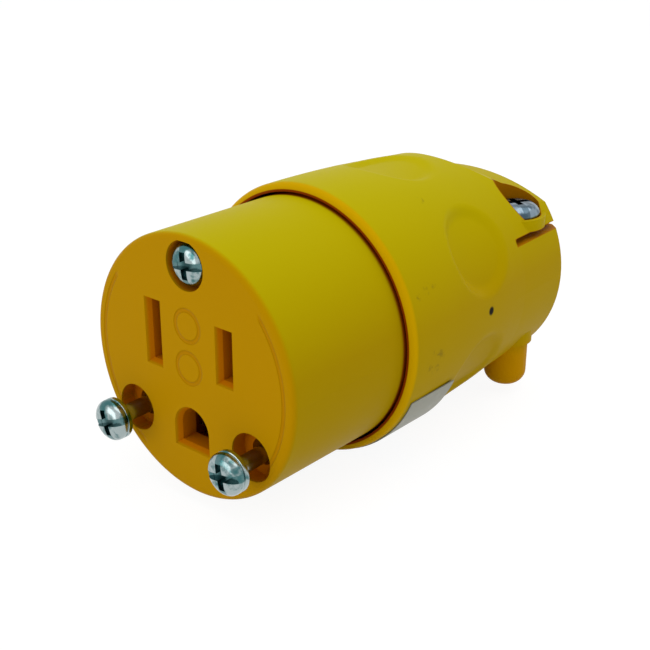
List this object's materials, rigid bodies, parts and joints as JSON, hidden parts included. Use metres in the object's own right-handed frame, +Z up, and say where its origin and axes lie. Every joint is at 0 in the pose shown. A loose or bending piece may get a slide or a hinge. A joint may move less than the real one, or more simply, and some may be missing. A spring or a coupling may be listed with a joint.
{
  "type": "cord connector",
  "caption": "Yellow round cord connector: a slotted face body with an earth hole, screwed into a dimpled rear shell that ends in a screwed cord clamp.",
  "frame": {"origin": "centre of the mating face, on the axis of the round body", "axes": "+Y along the axis from the mating face towards the cord, +Z up towards the round side of the earth hole, so the earth hole is the lowest of the three openings; +X to the right when looking at the face"},
  "size_m": [0.0386, 0.0674, 0.0386],
  "materials": {
    "face_yellow": "satin moulded",
    "shell_yellow": "satin moulded",
    "carrier_plastic": "matt moulded",
    "zinc_screw": "bright zinc plate",
    "contact_brass": "as rolled",
    "brass_screw": "bright",
    "green_screw": "green dyed",
    "clamp_steel": "plain",
    "label_white": "blank sticker"
  },
  "bodies": {
    "root": {"front_body": "face_yellow", "rear_shell": "shell_yellow", "contact_carrier": "carrier_plastic", "assembly_screw_top": "zinc_screw", "assembly_screw_left": "zinc_screw", "assembly_screw_right": "zinc_screw", "clamp_screw_left": "zinc_screw", "clamp_screw_right": "zinc_screw", "line_contact": "contact_brass", "neutral_contact": "contact_brass", "ground_contact": "contact_brass", "line_terminal_screw": "brass_screw", "neutral_terminal_screw": "zinc_screw", "ground_terminal_screw": "green_screw", "line_wire_clamp": "clamp_steel", "neutral_wire_clamp": "clamp_steel", "ground_wire_clamp": "clamp_steel", "blank_label": "label_white"}
  },
  "joints": []
}
